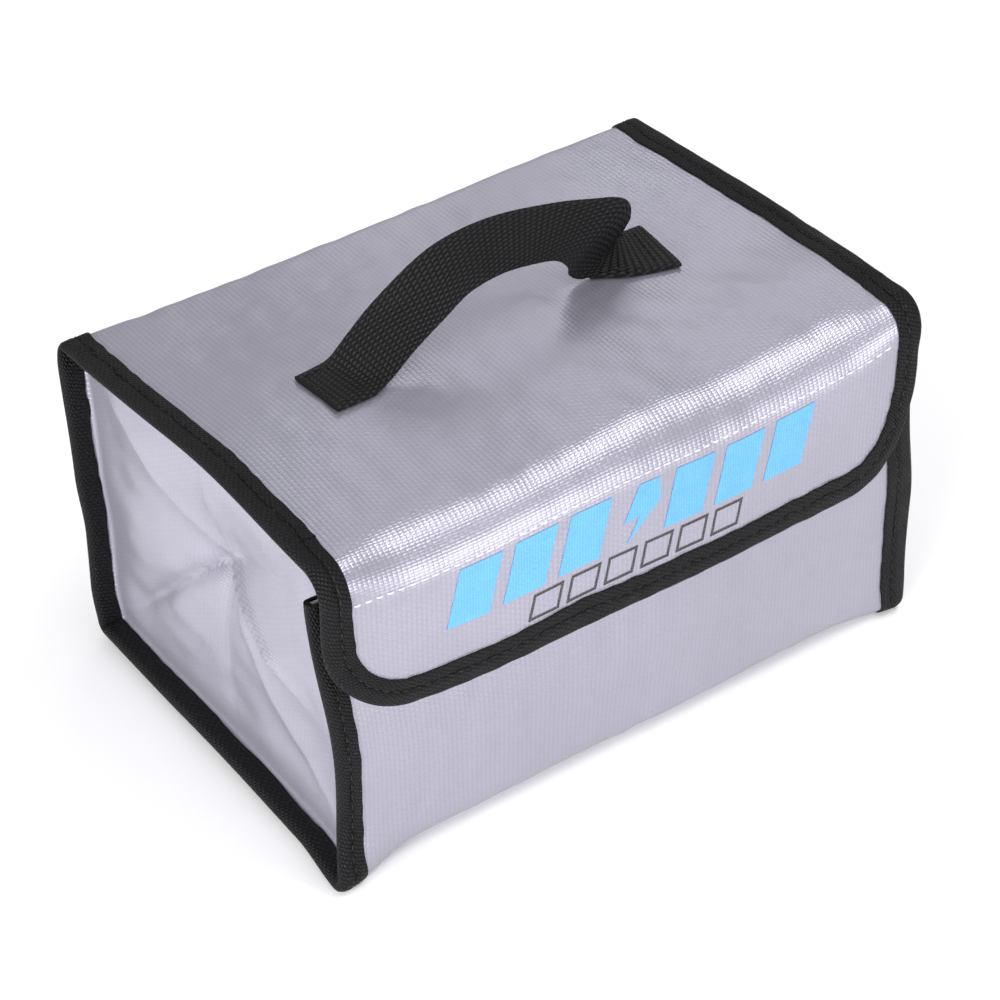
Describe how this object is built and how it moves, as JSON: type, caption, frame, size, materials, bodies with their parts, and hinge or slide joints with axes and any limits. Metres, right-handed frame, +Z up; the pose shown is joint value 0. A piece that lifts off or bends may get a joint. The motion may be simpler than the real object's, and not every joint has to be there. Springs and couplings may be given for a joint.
{
  "type": "lipo safe bag",
  "caption": "Soft box-shaped fireproof bag for batteries, with bound seams, a fold-over lid and flap with a hook-and-loop closure, and a webbing handle.",
  "frame": {"origin": "on the ground under the middle of the closed bag, handle and flap included", "axes": "+X to the right end panel, -Y to the front with the flap, +Z up"},
  "size_m": [0.215, 0.1492, 0.146],
  "materials": {
    "outer_cloth": "fine ribbed weave with a satin coating",
    "lining_cloth": "plain woven, matt",
    "binding_tape": "ribbed grosgrain, matt",
    "webbing": "coarse woven webbing, matt",
    "white_thread": "sewing thread",
    "black_thread": "sewing thread",
    "hook_tape": "nylon hooks",
    "loop_tape": "brushed loops",
    "blue_print": "screen print",
    "black_print": "screen print"
  },
  "bodies": {
    "bag": {"wrap_shell": "outer_cloth", "wrap_lining": "lining_cloth", "left_end_panel": "outer_cloth", "right_end_panel": "outer_cloth", "left_end_lining": "lining_cloth", "right_end_lining": "lining_cloth", "left_end_binding": "binding_tape", "right_end_binding": "binding_tape", "left_mouth_binding": "binding_tape", "right_mouth_binding": "binding_tape", "left_end_seam": "black_thread", "right_end_seam": "black_thread", "front_mouth_binding": "binding_tape", "hook_strip": "hook_tape", "hook_strip_seam": "black_thread"},
    "lid": {"lid_panel": "outer_cloth", "lid_lining": "lining_cloth", "left_lid_binding": "binding_tape", "right_lid_binding": "binding_tape", "left_lid_seam": "black_thread", "right_lid_seam": "black_thread", "handle_left_end": "webbing", "handle_right_end": "webbing", "handle_left_seam": "black_thread", "handle_right_seam": "black_thread"},
    "flap": {"flap_panel": "outer_cloth", "flap_lining": "lining_cloth", "flap_binding": "binding_tape", "loop_strip": "loop_tape", "flap_seam": "white_thread", "flap_edge_seam": "black_thread", "charge_print": "blue_print", "cell_print": "black_print"},
    "handle": {"handle_strap": "webbing"}
  },
  "joints": [
    {"name": "lid_fold", "type": "hinge", "parent": "bag", "child": "lid", "pos_m": [0, 0.07355, 0.1157], "axis": [-1, 0, 0], "range_deg": [0, 175]},
    {"name": "flap_fold", "type": "hinge", "parent": "lid", "child": "flap", "pos_m": [0, -0.05555, 0.1157], "axis": [-1, 0, 0], "range_deg": [0, 120]},
    {"name": "handle_swing", "type": "hinge", "parent": "lid", "child": "handle", "pos_m": [0, 0, 0.115], "axis": [1, 0, 0], "range_deg": [-45, 45]}
  ]
}
